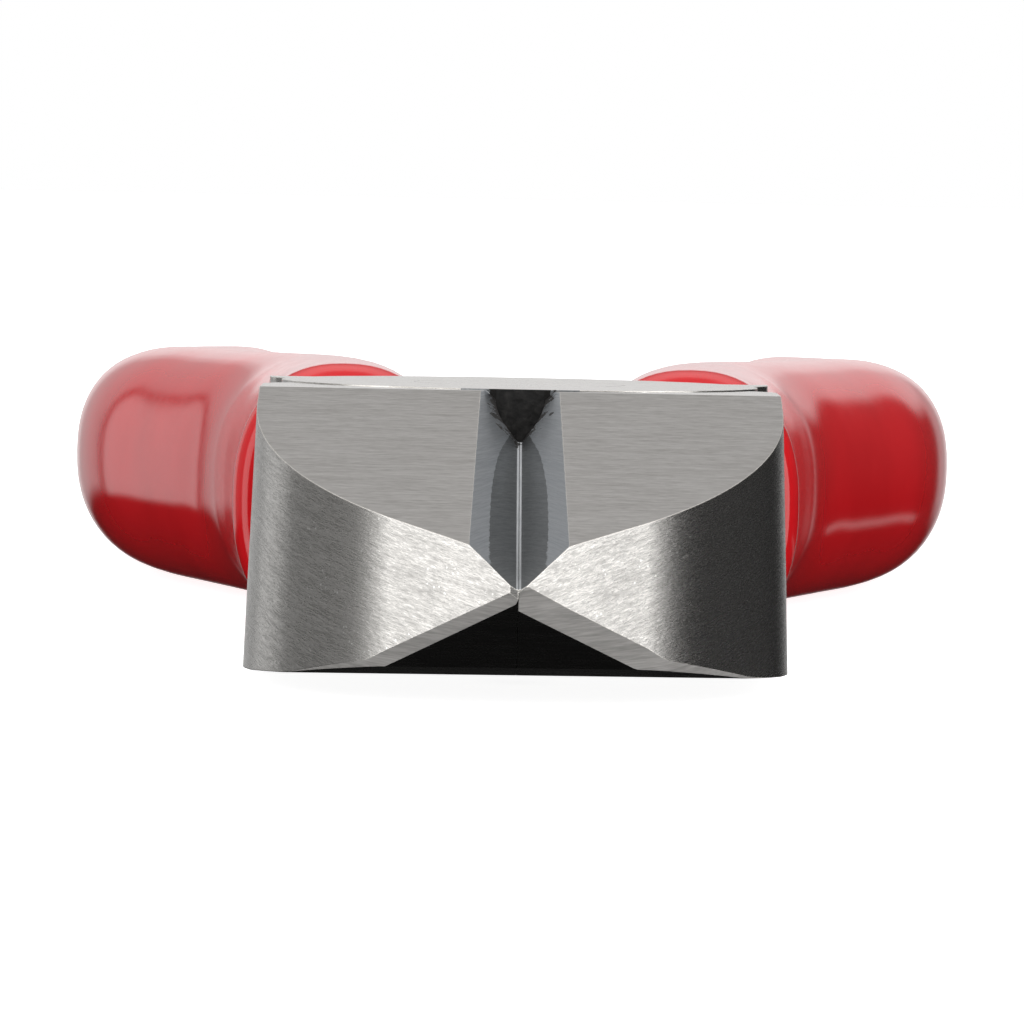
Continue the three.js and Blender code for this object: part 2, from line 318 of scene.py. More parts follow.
def flank_outline():
    """The outside of a jaw in plan as (distance from the centre line, y) points."""
    radii = (NOSE_ARC_RADIUS, NOSE_ARC_RADIUS)
    return [(NOSE_TIP_HALF_WIDTH, TIP_Y), *arc(arc_centre(), radii, -45, 0, ARC_STEPS)]


def jaw_outline():
    """A whole jaw in plan, back to its shoulder beside the lap disc."""
    inner = JAW_GAP / 2
    centre = (HEAD_HALF_WIDTH - SHOULDER_RADII[0], JAW_SHOULDER_Y)
    steps = JAW_SHOULDER_TURN // SHOULDER_STEP_DEGREES
    shoulder = arc(centre, SHOULDER_RADII, 0, JAW_SHOULDER_TURN, steps)
    return [(inner, TIP_Y), *flank_outline(), *shoulder, (inner, -SHOULDER_BACK)]


def slope_height(y):
    """Height of the sloping upper face, which meets the flat top at its end."""
    return TOP + (y - TIP_Y - SLOPE_LENGTH) * SLOPE_RISE / SLOPE_LENGTH


def underside_height(y):
    """Height of the ground underside on the centre line."""
    behind = y - TIP_Y
    depth = UNDERCUT[0][1]
    for (d0, h0), (d1, h1) in zip(UNDERCUT, UNDERCUT[1:]):
        if behind > d0:
            depth = h0 + (h1 - h0) * min((behind - d0) / (d1 - d0), 1)
    return MID - min(depth, HEAD_HALF)


# ---- the head ----


def jaw_block(side):
    """A jaw before grinding, a little wider below than above."""
    inner = JAW_GAP / 2
    rings = []
    for z, draft, lean in ((BOTTOM, SIDE_DRAFT, UNDERSIDE_LEAN), (TOP, -SIDE_DRAFT, 0)):
        widen = 1 + draft / HEAD_HALF_WIDTH
        ring = []
        for w, y in jaw_outline():
            x = side * (inner + (w - inner) * widen)
            ring.append((x, y, z + lean * x))
        rings.append(ring)
    return loft("jaw", rings, SIDE, FLAT)


def slope_cutter():
    start, end = TIP_Y - CUTTER_MARGIN, TIP_Y + 2 * SLOPE_LENGTH
    outline = ((start, slope_height(start)), (end, slope_height(end)), (start, slope_height(end)))
    return side_prism("slope", outline, SLOPE)


def underside_cutter():
    start, below = TIP_Y - CUTTER_MARGIN, BOTTOM - CUTTER_MARGIN
    ground = [(TIP_Y + d, MID - h) for d, h in UNDERCUT]
    outline = [(start, ground[0][1]), *ground, (ground[-1][0], below), (start, below)]
    return side_prism("undercut", outline, UNDER, UNDERSIDE_LEAN)


def groove_at(behind):
    """Height of the V's bottom and the rise of its bevels, at a distance behind the tip."""
    t = (behind + GROOVE_LEAD) / GROOVE_LENGTH
    half_width, depth = (a + (b - a) * t for a, b in zip(GROOVE_FRONT, GROOVE_BACK))
    return slope_height(TIP_Y + behind) - depth, depth / half_width


def v_ring(y, bottom, rise, reach):
    """Section of a V cutter: a narrow flat on the centre line between two rising sides."""
    return [
        (-EDGE_LAND, y, bottom + EDGE_LAND * rise),
        (EDGE_LAND, y, bottom + EDGE_LAND * rise),
        (reach, y, bottom + reach * rise),
        (-reach, y, bottom + reach * rise),
    ]


def v_cutter(name, rings, region):
    """A cutter through V sections, whose narrow flat leaves the land of the cutting edge."""
    cutter = loft(name, rings, region)
    rounding = 1e-4
    for face in cutter.data.polygons:
        half_width = max(abs(cutter.data.vertices[v].co.x) for v in face.vertices)
        if half_width <= EDGE_LAND + rounding:
            face.material_index = LAND
    return cutter


def groove_cutter():
    reach = 3.0
    rings = []
    for i in range(int(GROOVE_LENGTH) + 1):
        behind = i - GROOVE_LEAD
        edge, rise = groove_at(behind)
        rings.append(v_ring(TIP_Y + behind, edge, rise, reach))
    return v_cutter("groove", rings, BEVEL)


def inner_bevel_cutter():
    wider = 1.5
    knots = [Vector(station) for station in INNER_BEVEL]
    rings = []
    for i in range(INNER_BEVEL_STEPS + 1):
        behind, half_width, deeper = spline(knots, i / INNER_BEVEL_STEPS)
        edge, rise = groove_at(behind)
        steeper = rise + deeper / half_width
        rings.append(v_ring(TIP_Y + behind, edge - deeper, steeper, wider * half_width))
    return v_cutter("inner_bevel", rings, INNER)


def relief_cutter():
    return disc(
        "relief", (RELIEF_HALF_WIDTH, RELIEF_HALF_LENGTH), -PRISM_REACH, PRISM_REACH,
        POCKET, POCKET, RELIEF_STEPS, TIP_Y + RELIEF_BEHIND_TIP,
    )


def chamfer_cutter(side):
    """A 45 degree cutter along the underside's outer edge, from the nose to where it fades."""
    fade_start, fade_end = CHAMFER_FADE[side]
    outside, below = 0.5, 1.0
    draft_near_bottom = 0.8 * SIDE_DRAFT
    ahead_of_nose = (-0.3, TIP_Y - 0.6)
    path = [ahead_of_nose]
    path += [point for point in flank_outline() if point[0] < fade_end]
    rings = []
    for i, (w, y) in enumerate(path):
        w0, y0 = path[max(i - 1, 0)]
        w1, y1 = path[min(i + 1, len(path) - 1)]
        outward = Vector((y1 - y0, w0 - w1)).normalized()
        floor = underside_height(y) + UNDERSIDE_LEAN * side * w
        size = CHAMFER[side] * min(1, (fade_end - w) / (fade_end - fade_start))
        section = ((outside, -below), (outside, size + outside), (-size - below, -below))
        rings.append([
            (side * (w + draft_near_bottom + out * outward.x), y + out * outward.y, floor + up)
            for out, up in section
        ])
    return loft("chamfer", rings, EDGE)


def taper_cutter(direction):
    """Thins a neck from above (1) or below (-1) towards the handle."""
    end = NECK_END + 2
    level = MID + direction * NECK_HALF_THICKNESS
    clear = MID + direction * 2 * HEAD_HALF
    profile = (
        (NECK_TAPER_Y, MID + direction * HEAD_HALF),
        (NECK_END, level),
        (end, level),
        (end, clear),
        (NECK_TAPER_Y, clear),
    )
    return side_prism("taper", profile, FLAT)


def neck_block(side):
    """Shoulder and neck behind the lap disc, on one side."""
    centre = (HEAD_HALF_WIDTH - SHOULDER_RADII[0] - NECK_SHOULDER_INSET, NECK_SHOULDER_Y)
    steps = NECK_SHOULDER_TURN // SHOULDER_STEP_DEGREES
    outline = [
        (NECK_CROTCH[-1][0], SHOULDER_BACK),
        (HEAD_HALF_WIDTH - NECK_CORNER_INSET, SHOULDER_BACK),
        *arc(centre, SHOULDER_RADII, -NECK_SHOULDER_TURN, 0, steps),
        (HEAD_HALF_WIDTH, NECK_FULL_WIDTH_Y),
        (HEAD_HALF_WIDTH, NECK_END),
        *NECK_CROTCH,
    ]
    plan = [(side * w, y) for w, y in outline]
    block = standing_prism("neck", plan, BOTTOM, TOP, SIDE, FLAT)
    for direction in (1, -1):
        cut(block, taper_cutter(direction))
    return block


def spline(knots, t):
    """A point on the uniform Catmull-Rom curve through the knots, t from 0 to 1."""
    place = t * (len(knots) - 1)
    i = min(int(place), len(knots) - 2)
    u = place - i
    p1, p2 = knots[i], knots[i + 1]
    p0 = knots[i - 1] if i > 0 else 2 * p1 - p2
    p3 = knots[i + 2] if i + 2 < len(knots) else 2 * p2 - p1
    v0, v1 = (p2 - p0) / 2, (p3 - p1) / 2
    return (
        (2 * p1 - 2 * p2 + v0 + v1) * u**3
        + (-3 * p1 + 3 * p2 - 2 * v0 - v1) * u**2
        + v0 * u
        + p1
    )


HANDLE_LINE = [Vector(station[:2]) for station in HANDLE]
HANDLE_SIZE = [Vector(station[2:]) for station in HANDLE]


def handle_at(y):
    """Centre line's offset, half width, half height and rise at a distance behind the pivot."""
    halvings = 30
    low, high = 0.0, 1.0
    for _ in range(halvings):
        middle = (low + high) / 2
        if spline(HANDLE_LINE, middle)[0] < y:
            low = middle
        else:
            high = middle
    return (spline(HANDLE_LINE, low)[1], *spline(HANDLE_SIZE, low))


def section_ring(side, y, wall_x, wall_z, keep, count):
    """A cross section of the handle, pulled in by a wall and shrunk towards a rounded end."""
    offset, half_width, half_height, rise = handle_at(y)
    half_width = (half_width - wall_x) * keep
    half_height = (half_height - wall_z) * keep
    ring = []
    bend = 2 / SECTION_POWER
    for i in range(count):
        angle = 2 * math.pi * i / count
        across, up = math.cos(angle), math.sin(angle)
        x = offset + half_width * math.copysign(abs(across) ** bend, across)
        z = MID + rise + half_height * math.copysign(abs(up) ** bend, up)
        ring.append((side * x, y, z))
    return ring


def rounded_end(distance, radius):
    """Share of the full section left at a distance from a rounded end."""
    t = min(distance / radius, 1)
    return math.sqrt(max(1 - (1 - t) ** 2, 0))


def core_rings(side, start, end, wall_x, wall_z, count, steps):
    """Sections of a handle from start to a rounded end, pulled in by a wall."""
    ys = [start + (end - CORE_END_ROUND - start) * i / steps for i in range(steps + 1)]
    ys += [end - CORE_END_ROUND * share for share in CORE_END_SHARES]
    return [
        section_ring(side, y, wall_x, wall_z, rounded_end(end - y, CORE_END_ROUND), count)
        for y in ys
    ]


def rivet_profile(extra=0.0, past=0.0):
    """Shaft between two countersunk heads, grown by extra and running past both heads."""
    shaft, head = RIVET_RADIUS + extra, RIVET_HEAD_RADIUS + extra
    low, high = RIVET_LOW[2], RIVET_HIGH[2]
    points = [
        (head, low),
        (shaft, low + RIVET_HEAD_DEPTH),
        (shaft, high - RIVET_HEAD_DEPTH),
        (head, high),
    ]
    if past:
        points = [(head, low - past), *points, (head, high + past)]
    return points


def grind_jaw(half, jaw_side):
    """Cuts every ground face of a jaw into its block."""
    cut(half, slope_cutter())
    cut(half, underside_cutter())
    cut(half, chamfer_cutter(jaw_side))
    cut(half, groove_cutter())
    cut(half, inner_bevel_cutter())
    cut(half, relief_cutter())


def forged_half(name, jaw_side, lap_above):
    """A jaw, its half of the lap, and the neck and core of the handle across the joint."""
    half = jaw_block(jaw_side)
    grind_jaw(half, jaw_side)
    join(half, neck_block(-jaw_side))
    if lap_above:
        pocket = (-CUTTER_MARGIN, MID + LAP_GAP / 2)
        lap = (MID + LAP_GAP / 2, RIVET_HIGH[2])
    else:
        pocket = (MID - LAP_GAP / 2, TOP + CUTTER_MARGIN)
        lap = (RIVET_LOW[2], MID - LAP_GAP / 2)
    pocket_radius = BOSS_RADIUS + POCKET_GAP
    cut(half, disc("pocket", (pocket_radius, pocket_radius), *pocket, SIDE, FLAT))
    boss = disc("lap", (BOSS_RADIUS, BOSS_RADIUS), *lap, SIDE, FLAT)
    if not lap_above:
        cut(boss, underside_cutter())
    join(half, boss)
    core = core_rings(
        -jaw_side, CORE_START_Y, CORE_END_Y, COAT_WIDTH, COAT_HEIGHT, CORE_SIDES, CORE_STEPS
    )
    join(half, loft("core", core, SIDE))
    cut(half, turned("hole", rivet_profile(RIVET_HOLE_GAP, past=1.0), SIDE, SIDE))
    half.name = name
    half.data.name = name
    return half


# ---- grips and rivet ----


def hollow_rings(side):
    """The blind hollow for the core, from the mouth to its closed end."""
    return core_rings(
        side, COAT_START_Y + COAT_HOLLOW_INSET, CORE_END_Y + COAT_GAP,
        COAT_WIDTH - COAT_GAP, COAT_HEIGHT - COAT_GAP, GRIP_SIDES, HOLLOW_STEPS,
    )


def lip_rings(side):
    """The rolled mouth, from just outside the hollow to the full section."""
    rings = []
    for i in range(LIP_STEPS + 1):
        turn = math.pi / 2 * i / LIP_STEPS
        y = COAT_START_Y + LIP_ROUND * (1 - math.cos(turn))
        pull = LIP_PULL * (1 - math.sin(turn))
        rings.append(section_ring(side, y, pull, pull, 1.0, GRIP_SIDES))
    return rings


def outer_rings(side):
    """The outside from behind the lip to the round tail."""
    rings = []
    start = COAT_START_Y + LIP_ROUND
    for i in range(1, GRIP_STEPS + 1):
        y = start + (TAIL_Y - TAIL_ROUND - start) * i / GRIP_STEPS
        rings.append(section_ring(side, y, 0, 0, 1.0, GRIP_SIDES))
    for i in range(1, TAIL_STEPS):
        angle = math.pi / 2 * i / TAIL_STEPS
        y = TAIL_Y - TAIL_ROUND * (1 - math.sin(angle))
        rings.append(section_ring(side, y, 0, 0, math.cos(angle), GRIP_SIDES))
    return rings


def grip(name, side):
    """A dipped sleeve: blind hollow, mouth with a rolled lip, swelling outside, round tail."""
    rings = [*reversed(hollow_rings(side)), *lip_rings(side), *outer_rings(side)]
    return loft(name, rings)


def rivet(name):
    return turned(name, rivet_profile(), SIDE, FLAT)


# ---- finishing meshes ----


def blacken_pocket(half):
    """The lap disc's wall behind the V is black in the pocket, scale and painted shade, and
    darker steel beside it as painted shade.
    """
    wall_half_width, wall_front, wall_back = 2.2, -12, -0.9 * BOSS_RADIUS
    black_half_width = RELIEF_HALF_WIDTH + 0.05
    for face in half.data.polygons:
        x, y, _ = face.center
        if face.material_index != SIDE:
            continue
        if abs(x) < wall_half_width and wall_front < y < wall_back:
            # Painted shade: black in the pocket, the darker inner steel beside it.
            face.material_index = POCKET if abs(x) < black_half_width else INNER


def dress(obj, steels):
    """Gives each face the steel of its region."""
    regions = [face.material_index for face in obj.data.polygons]
    obj.data.materials.clear()
    for region in REGIONS:
        obj.data.materials.append(steels[region])
    obj.data.polygons.foreach_set("material_index", regions)


def along_flank(y):
    """Length of the head's outside from the tip to y: facet, arc, then straight."""
    facet_length = NOSE_FACET * math.sqrt(2)
    arc_end = arc_centre()[1]
    if y < facet_end()[1]:
        return (y - TIP_Y) * math.sqrt(2)
    if y < arc_end:
        swept = math.asin(min((arc_end - y) / NOSE_ARC_RADIUS, 1))
        return facet_length + NOSE_ARC_RADIUS * (math.pi / 4 - swept)
    return facet_length + NOSE_ARC_RADIUS * math.pi / 4 + y - arc_end


def grind_at(region, x, y, z):
    """Where a point lies on its region in millimetres, first along the grinding marks."""
    if region in (SIDE, EDGE):
        along = along_flank(y)
        return (
            along * math.cos(FLANK_MARKS) + z * math.sin(FLANK_MARKS),
            z * math.cos(FLANK_MARKS) - along * math.sin(FLANK_MARKS),
        )
    if region in (BEVEL, INNER):
        return (
            abs(x) * math.cos(BEVEL_MARKS) - y * math.sin(BEVEL_MARKS),
            abs(x) * math.sin(BEVEL_MARKS) + y * math.cos(BEVEL_MARKS),
        )
    if region == LAND:
        return y, x
    return x, y


def grind_uv(obj):
    """A UV map in millimetres whose U runs along the grinding marks of each region."""
    mesh = obj.data
    layer = mesh.uv_layers.new(name="grind")
    for face in mesh.polygons:
        for loop in face.loop_indices:
            point = mesh.vertices[mesh.loops[loop].vertex_index].co
            layer.data[loop].uv = grind_at(face.material_index, *point)


def to_metres(obj):
    obj.data.transform(Matrix.Scale(MM, 4))
    obj.data.update()


def shade(obj, sharp):
    """Smooth shading, with sharp edges where faces meet at more than so many degrees."""
    mesh = obj.data
    for face in mesh.polygons:
        face.use_smooth = True
    bm = bmesh.new()
    bm.from_mesh(mesh)
    for edge in bm.edges:
        if len(edge.link_faces) == 2:
            one, other = edge.link_faces
            limit = sharp if one.material_index == other.material_index else SHARP_REGION
            edge.smooth = edge.calc_face_angle(0.0) < math.radians(limit)
    bm.to_mesh(mesh)
    bm.free()


def finish_steel(obj, steels, sharp):
    """Everything that a steel piece needs after its shape, ending in metres."""
    dress(obj, steels)
    grind_uv(obj)
    shade(obj, sharp)
    to_metres(obj)


# ---- materials ----

# Linear colours.
# Colour of the painted glints.
GLINT = (0.97, 0.96, 0.93)
WORN_STEEL = (0.95, 0.91, 0.84)
# Black of the spot round the pocket: forge scale and painted shade.
SPOT_SCALE_AND_SHADE = (0.012, 0.011, 0.01)
# Black of the pocket: forge scale and painted shade of the recess.
SCALE_AND_SHADE_DARK = (0.008, 0.0075, 0.007)
SCALE_AND_SHADE_LIGHT = (0.04, 0.038, 0.036)
RED_DEEP = (0.56, 0.008, 0.012)
RED_BRIGHT = (0.64, 0.011, 0.016)

# Grinding marks, broad, medium and fine: how much denser than a steel's own marks they are
# along and across, the noise's detail, and its seed.
MARKS = ((0.3, 0.25, 2.0, 3.1), (1.0, 1.0, 3.0, 7.7), (3.0, 3.2, 2.0, 1.3))
FINE_SHARE = 0.55
BROAD_SHARE = 0.18

# In millimetres: the rounding that the bevel node gives to edges, and the depth of the marks.
EDGE_ROUNDING = 0.06
MARK_DEPTH = 0.02

# Black spot around the relief pocket, part forge scale and part painted shade of the recess:
# centre and radii of the spot in millimetres, and how ragged its edge is.
POCKET_SPOT_CENTRE = (0.0, -9.3, 0.0)
POCKET_SPOT_RADII = (1.25, 3.4, 40.0)
POCKET_SPOT_RAGGED = 1.9


def new_material(name):
    """A material with its node tree and its Principled shader."""
    material = bpy.data.materials.new(name)
    material.use_nodes = True
    tree = material.node_tree
    shader = tree.nodes["Principled BSDF"]
    return material, tree, shader


def node(tree, kind, **values):
    """A new node, with each value set on the input or else the property of that name."""
    made = tree.nodes.new(kind)
    for key, value in values.items():
        if key in made.inputs:
            made.inputs[key].default_value = value
        else:
            setattr(made, key, value)
    return made


def object_noise(tree, scale, detail, roughness=0.5):
    """Noise in object coordinates, with grains about 1/scale metres across."""
    coords = node(tree, "ShaderNodeTexCoord").outputs["Object"]
    noise = node(tree, "ShaderNodeTexNoise", Scale=scale, Detail=detail, Roughness=roughness)
    tree.links.new(coords, noise.inputs["Vector"])
    return noise.outputs["Fac"]


def streaks(tree, uv, along, across, kind):
    """Noise stretched along U: marks about 1/along mm long and 1/across mm apart."""
    denser_along, denser_across, detail, seed = kind
    scaled = node(tree, "ShaderNodeMapping")
    scaled.inputs["Scale"].default_value = (along * denser_along, across * denser_across, 1)
    scaled.inputs["Location"].default_value = (seed, seed * 0.7, seed)
    tree.links.new(uv, scaled.inputs["Vector"])
    noise = node(tree, "ShaderNodeTexNoise", Scale=1.0, Detail=detail, Roughness=0.6)
    tree.links.new(scaled.outputs["Vector"], noise.inputs["Vector"])
    return noise.outputs["Fac"]


def math_node(tree, operation, a, b):
    """A Math node's result for two values, each a socket or a number."""
    made = node(tree, "ShaderNodeMath", operation=operation)
    for socket, value in zip(made.inputs, (a, b)):
        if isinstance(value, (int, float)):
            socket.default_value = value
        else:
            tree.links.new(value, socket)
    return made.outputs[0]


def mix_value(tree, a, b, share):
    """A value with this share of b and the rest of a."""
    rest = math_node(tree, "MULTIPLY", a, 1 - share)
    return math_node(tree, "ADD", rest, math_node(tree, "MULTIPLY", b, share))


def remap(tree, value, low, high, out_low, out_high):
    """A value taken evenly from one range to another, and held at its ends."""
    made = node(tree, "ShaderNodeMapRange")
    tree.links.new(value, made.inputs["Value"])
    made.inputs["From Min"].default_value = low
    made.inputs["From Max"].default_value = high
    made.inputs["To Min"].default_value = out_low
    made.inputs["To Max"].default_value = out_high
    return made.outputs["Result"]


def smooth_step(tree, value, low, high, out_low=0.0, out_high=1.0):
    """Like remap, but easing in and out."""
    made = remap(tree, value, low, high, out_low, out_high)
    made.node.interpolation_type = "SMOOTHSTEP"
    return made


def object_point(tree, centre, scale):
    """Object coordinates in units of scale (mm) from a centre (mm)."""
    moved = node(tree, "ShaderNodeMapping", vector_type="TEXTURE")
    moved.inputs["Location"].default_value = [c * MM for c in centre]
    moved.inputs["Scale"].default_value = [s * MM for s in scale]
    coords = node(tree, "ShaderNodeTexCoord").outputs["Object"]
    tree.links.new(coords, moved.inputs["Vector"])
    return moved.outputs["Vector"]


def mix_colour(tree, factor, a, b):
    """Colour a where the factor is 0 and b where it is 1, each a socket or a tuple."""
    made = node(tree, "ShaderNodeMix", data_type="RGBA")
    for socket, value in ((made.inputs[0], factor), (made.inputs[6], a), (made.inputs[7], b)):
        if isinstance(value, (int, float)):
            socket.default_value = value
        elif isinstance(value, tuple):
            socket.default_value = (*value, 1)
        else:
            tree.links.new(value, socket)
    return made.outputs[2]


def bump(tree, height, strength, depth):
    """A Bump node for a height, whose full depth is in millimetres."""
    made = node(tree, "ShaderNodeBump", Strength=strength, Distance=depth * MM)
    tree.links.new(height, made.inputs["Height"])
    return made


def pocket_scale_and_shade(tree):
    """Black scale and painted shade in and around the relief pocket: 1 inside its ragged edge,
    else 0.
    """
    place = object_point(tree, POCKET_SPOT_CENTRE, POCKET_SPOT_RADII)
    length = node(tree, "ShaderNodeVectorMath", operation="LENGTH")
    tree.links.new(place, length.inputs[0])
    noise = math_node(tree, "SUBTRACT", object_noise(tree, 1500.0, 4.0, 0.65), 0.5)
    ragged = math_node(tree, "MULTIPLY", noise, POCKET_SPOT_RAGGED)
    edge = math_node(tree, "ADD", length.outputs["Value"], ragged)
    return smooth_step(tree, edge, 0.95, 0.99, 1.0, 0.0)


def glint_dots(tree):
    """Painted glints: scattered bright dots in patches."""
    coords = node(tree, "ShaderNodeTexCoord").outputs["Object"]
    dots = node(tree, "ShaderNodeTexVoronoi", Scale=4200.0)
    tree.links.new(coords, dots.inputs["Vector"])
    patchy = smooth_step(tree, object_noise(tree, 900.0, 2.0), 0.54, 0.64)
    dot = smooth_step(tree, dots.outputs["Distance"], 0.1, 0.26, 1.0, 0.0)
    return math_node(tree, "MULTIPLY", patchy, dot)


def worn_edge(tree, rounded):
    """1 on edges where the rounded normal leaves the face's own by many degrees, else 0."""
    flat = node(tree, "ShaderNodeNewGeometry").outputs["Normal"]
    dot = node(tree, "ShaderNodeVectorMath", operation="DOT_PRODUCT")
    tree.links.new(flat, dot.inputs[0])
    tree.links.new(rounded, dot.inputs[1])
    return smooth_step(tree, dot.outputs["Value"], 0.955, 0.99, 1.0, 0.0)


def grinding(tree, along, across):
    """The marks from 0 to 1, and their tone with the broad streaks in it."""
    uv = node(tree, "ShaderNodeUVMap", uv_map="grind").outputs["UV"]
    broad, medium, fine = (streaks(tree, uv, along, across, kind) for kind in MARKS)
    marks = mix_value(tree, medium, fine, FINE_SHARE)
    return marks, mix_value(tree, marks, broad, BROAD_SHARE)


def brush(tree, shader, anisotropy):
    """Stretches the reflections across the grinding marks."""
    tangent = node(tree, "ShaderNodeTangent", direction_type="UV_MAP", uv_map="grind")
    tree.links.new(tangent.outputs["Tangent"], shader.inputs["Tangent"])
    shader.inputs["Anisotropic"].default_value = anisotropy
    shader.inputs["Anisotropic Rotation"].default_value = 0.25


def ground_steel(
    name, dark, light, roughness, *, across, along, relief, spread=0.2, anisotropy=0.5,
    metallic=1.0, grazing=1.0, worn=0.0, scale_and_shade_spot=False, glints=False,
):
    """Belt-ground steel: streaks along U in colour, roughness and height.

    across and along are the marks in a millimetre, relief the strength of their bump, spread
    the softness of the step from dark to light, grazing the reflection at glancing angles, and
    worn how bright the rubbed edges are.
    """
    material, tree, shader = new_material(name)
    marks, tone = grinding(tree, along, across)
    share = smooth_step(tree, tone, 0.5 - spread, 0.5 + spread)
    colour = mix_colour(tree, share, dark, light)
    rough = remap(tree, tone, 0.3, 0.7, roughness + 0.08, roughness - 0.08)
    if glints:
        colour = mix_colour(tree, glint_dots(tree), colour, GLINT)
    bevel = node(tree, "ShaderNodeBevel", samples=6, Radius=EDGE_ROUNDING * MM)
    rounded = bevel.outputs["Normal"]
    if worn:
        edge = math_node(tree, "MULTIPLY", worn_edge(tree, rounded), worn)
        colour = mix_colour(tree, edge, colour, WORN_STEEL)
    # The black spot round the pocket: forge scale, and painted shade of the recess.
    if scale_and_shade_spot:
        black = pocket_scale_and_shade(tree)
        colour = mix_colour(tree, black, colour, SPOT_SCALE_AND_SHADE)
        rough = math_node(tree, "ADD", rough, math_node(tree, "MULTIPLY", black, 0.35))
        metal = remap(tree, black, 0.0, 1.0, metallic, 0.2)
        tree.links.new(metal, shader.inputs["Metallic"])
    else:
        shader.inputs["Metallic"].default_value = metallic
    tree.links.new(colour, shader.inputs["Base Color"])
    tree.links.new(rough, shader.inputs["Roughness"])
    shader.inputs["Specular Tint"].default_value = (grazing, grazing, grazing, 1)
    if anisotropy:
        brush(tree, shader, anisotropy)
    surface = bump(tree, marks, relief, MARK_DEPTH)
    tree.links.new(rounded, surface.inputs["Normal"])
    tree.links.new(surface.outputs["Normal"], shader.inputs["Normal"])
    return material


def scale_and_painted_shade(name, specular):
    """Dull, crusty black scale from the forge, which also stands as painted shade in the pocket's
    recess.
    """
    material, tree, shader = new_material(name)
    shader.inputs["Specular IOR Level"].default_value = specular
    noise = object_noise(tree, 2500.0, 4.0)
    share = smooth_step(tree, noise, 0.35, 0.75)
    colour = mix_colour(tree, share, SCALE_AND_SHADE_DARK, SCALE_AND_SHADE_LIGHT)
    tree.links.new(colour, shader.inputs["Base Color"])
    rough = remap(tree, noise, 0.3, 0.7, 0.55, 0.85)
    tree.links.new(rough, shader.inputs["Roughness"])
    crust = bump(tree, noise, 0.6, 0.1)
    tree.links.new(crust.outputs["Normal"], shader.inputs["Normal"])
    return material


def red_vinyl(name):
    """Glossy dipped coat: deep red with a faint cloud, and a slightly wavy, orange-peel skin."""
    material, tree, shader = new_material(name)
    shader.inputs["IOR"].default_value = 1.52
    cloud = smooth_step(tree, object_noise(tree, 160.0, 4.0), 0.3, 0.7)
    colour = mix_colour(tree, cloud, RED_DEEP, RED_BRIGHT)
    tree.links.new(colour, shader.inputs["Base Color"])
    speck = object_noise(tree, 2200.0, 2.0)
    rough = remap(tree, speck, 0.3, 0.7, 0.09, 0.13)
    tree.links.new(rough, shader.inputs["Roughness"])
    wave = bump(tree, object_noise(tree, 230.0, 1.0), 0.1, 0.1)
    tree.links.new(wave.outputs["Normal"], shader.inputs["Normal"])
    return material


def steel_set():
    """One steel for each region, from the way the face was ground; the underside, the pocket and
    the spot round it also hold painted shade.
    """
    return {
        "side": ground_steel(
            "steel_side", (0.36, 0.35, 0.335), (0.76, 0.74, 0.71), 0.26,
            across=11.0, along=1.3, relief=0.5, spread=0.22,
            anisotropy=0.75, glints=True, worn=0.5,
        ),
        "slope": ground_steel(
            "steel_slope", (0.27, 0.257, 0.243), (0.49, 0.474, 0.457), 0.34,
            across=6.0, along=0.7, relief=0.55, scale_and_shade_spot=True, worn=0.8,
        ),
        "bevel": ground_steel(
            "steel_bevel", (0.37, 0.395, 0.42), (0.58, 0.605, 0.635), 0.34,
            across=9.0, along=0.3, relief=0.4, scale_and_shade_spot=True, worn=0.8,
        ),
        "inner": ground_steel(
            "steel_inner_bevel", (0.2, 0.208, 0.215), (0.34, 0.35, 0.355), 0.4,
            across=9.0, along=0.4, relief=0.35, spread=0.22, scale_and_shade_spot=True, grazing=0.7,
        ),
        "land": ground_steel(
            "steel_land", (0.5, 0.52, 0.54), (0.75, 0.77, 0.78), 0.34,
            across=4.0, along=0.3, relief=0.2, spread=0.18, scale_and_shade_spot=True,
        ),
        "flat": ground_steel(
            "steel_flat", (0.62, 0.6, 0.58), (0.78, 0.76, 0.74), 0.3,
            across=8.0, along=0.4, relief=0.25, spread=0.22,
        ),
        # Painted shade: the underside's steel is darker, and its glancing reflection dimmed.
        "under": ground_steel(
            "steel_under", (0.2, 0.195, 0.19), (0.34, 0.33, 0.32), 0.24,
            across=6.0, along=0.5, relief=0.2, grazing=0.2,
        ),
        "chamfer": ground_steel(
            "steel_chamfer", (0.34, 0.33, 0.315), (0.62, 0.6, 0.58), 0.6,
            across=5.0, along=1.0, relief=0.6, anisotropy=0.0, metallic=0.2,
        ),
        # The pocket is black: forge scale and painted shade of the recess.
        "pocket": scale_and_painted_shade("steel_pocket", 0.4),
    }


# ---- studio ----


def make_camera():
    """The photograph's view: from the nose, 300 mm off, a little above the head."""
    stand_off, height = 300.0, 13.87
    yaw, pitch, roll = 0.00323, math.radians(2.336), math.radians(1.115)
    sideways = -0.298 - yaw * stand_off
    data = bpy.data.cameras.new("camera")
    data.sensor_width = 36
    data.lens = 290.454
    data.clip_start, data.clip_end = 0.01, 20
    camera = bpy.data.objects.new("camera", data)
    camera.location = Vector((sideways, TIP_Y - stand_off, MID + height)) * MM
    forward = Vector((yaw, 1.0, -math.tan(pitch))).normalized()
    aim = forward.to_track_quat("-Z", "Y").to_matrix().to_4x4()
    turn = aim @ Matrix.Rotation(roll, 4, "Z")
    camera.matrix_world = Matrix.Translation(camera.location) @ turn
    bpy.context.scene.collection.objects.link(camera)
    bpy.context.scene.camera = camera


